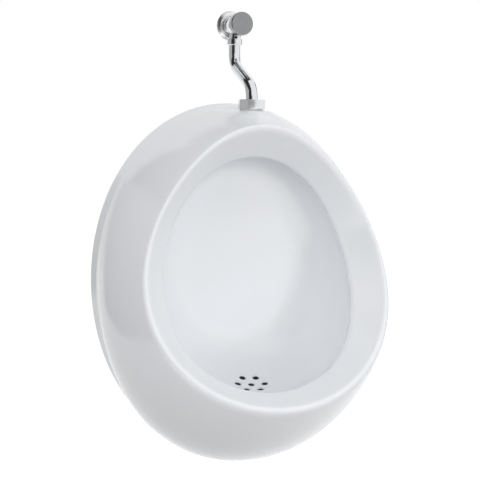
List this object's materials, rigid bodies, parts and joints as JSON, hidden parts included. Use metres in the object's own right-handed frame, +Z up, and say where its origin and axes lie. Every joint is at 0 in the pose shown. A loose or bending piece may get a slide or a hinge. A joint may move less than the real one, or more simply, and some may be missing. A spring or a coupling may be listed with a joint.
{
  "type": "wall hung urinal",
  "caption": "Wall hung urinal with an egg shaped glazed bowl, cast drain, exposed flush pipe and a push button flush valve, hung on steel brackets.",
  "frame": {"origin": "centre of the waste pipe where it crosses the wall plane", "axes": "+X to the right seen from the front, +Y into the wall, +Z up"},
  "size_m": [0.394, 0.2998, 0.6265],
  "materials": {
    "white_glaze": "glossy white glaze",
    "bright_chrome": "polished chrome plate",
    "turned_chrome": "chrome plate over fine turning marks",
    "turned_brass": "turned brass",
    "black_rubber": "moulded rubber",
    "zinc_steel": "zinc plated steel",
    "spring_steel": "drawn stainless wire",
    "white_plastic": "moulded polypropylene"
  },
  "bodies": {
    "urinal": {"ceramic_shell": "white_glaze", "ceramic_bowl": "white_glaze", "ceramic_outlet": "white_glaze", "hanger_bracket_left": "zinc_steel", "hanger_bracket_right": "zinc_steel", "bracket_screws": "zinc_steel", "bracket_washers": "zinc_steel", "inlet_bush": "black_rubber", "inlet_spud": "turned_brass", "pipe_seal": "black_rubber", "union_nut": "bright_chrome", "flush_pipe": "bright_chrome", "valve_body": "bright_chrome", "wall_flange": "bright_chrome", "valve_seat": "turned_brass", "bonnet": "bright_chrome", "inlet_strainer": "turned_brass", "stem_seal": "black_rubber", "outlet_nut": "bright_chrome", "outlet_seal": "black_rubber", "return_spring": "spring_steel", "trap_body": "white_plastic", "trap_baffle": "white_plastic", "trap_cup": "white_plastic", "cup_seal": "black_rubber", "horn_seal": "black_rubber", "waste_pipe": "white_plastic"},
    "push_button": {"button_cap": "turned_chrome", "valve_stem": "turned_brass", "poppet": "turned_brass", "poppet_washer": "black_rubber"}
  },
  "joints": [
    {"name": "button_press", "type": "slide", "parent": "urinal", "child": "push_button", "axis": [0, 1, 0], "range_m": [0, 0.006], "stiffness_N_per_m": 1200, "springref_m": -0.006, "deforming": ["return_spring"]}
  ]
}
